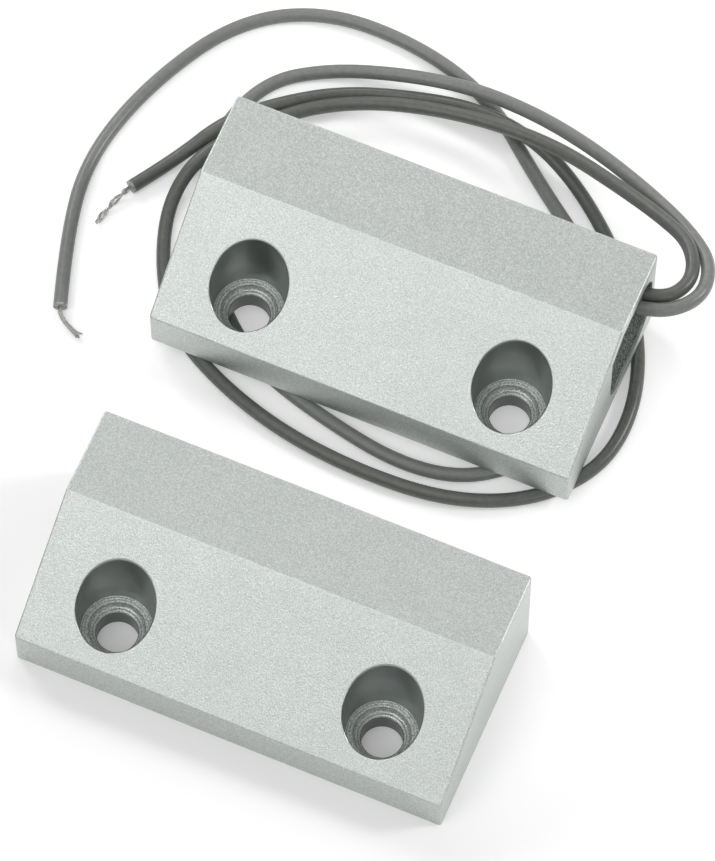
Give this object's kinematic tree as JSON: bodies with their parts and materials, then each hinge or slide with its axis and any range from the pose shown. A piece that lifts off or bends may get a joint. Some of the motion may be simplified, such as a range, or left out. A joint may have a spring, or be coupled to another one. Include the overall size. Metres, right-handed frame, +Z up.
{
  "type": "magnetic sensor",
  "caption": "Wired magnetic door contact: a wedge-shaped cast switch half with two thin grey leads looped behind and under it, and a matching magnet half.",
  "frame": {"origin": "middle of the footprint of the two housings, on the surface that the magnet half and the leads lie on", "axes": "+X along both housings, towards the end that the leads leave; +Y from the low front edges to the high backs, from the magnet half to the switch half; +Z up"},
  "size_m": [0.0723, 0.0869, 0.0163],
  "materials": {
    "cast_metal": "satin, with a fine bright grain",
    "resin": "dull, slightly granular",
    "grey_jacket": "satin plastic insulation",
    "tinned_wire": "dull tinned strands",
    "capsule_glass": "clear, slightly green",
    "blade_metal": "plain",
    "cradle_plastic": "plain",
    "sleeve_plastic": "plain",
    "shrink_plastic": "plain",
    "solder": "plain",
    "magnet_alloy": "plain"
  },
  "bodies": {
    "root": {"switch_housing": "cast_metal", "magnet_housing": "cast_metal", "switch_potting": "resin", "magnet_potting": "resin", "reed_glass": "capsule_glass", "reed_blade_near": "blade_metal", "reed_blade_far": "blade_metal", "reed_cradle": "cradle_plastic", "lead_a_core": "tinned_wire", "lead_b_core": "tinned_wire", "lead_a_sleeve": "sleeve_plastic", "solder_near": "solder", "solder_far": "solder", "shrink_near": "shrink_plastic", "shrink_far": "shrink_plastic", "bar_magnet": "magnet_alloy", "lead_a": "grey_jacket", "lead_b": "grey_jacket", "lead_a_strands": "tinned_wire", "lead_b_strands": "tinned_wire"}
  },
  "joints": []
}
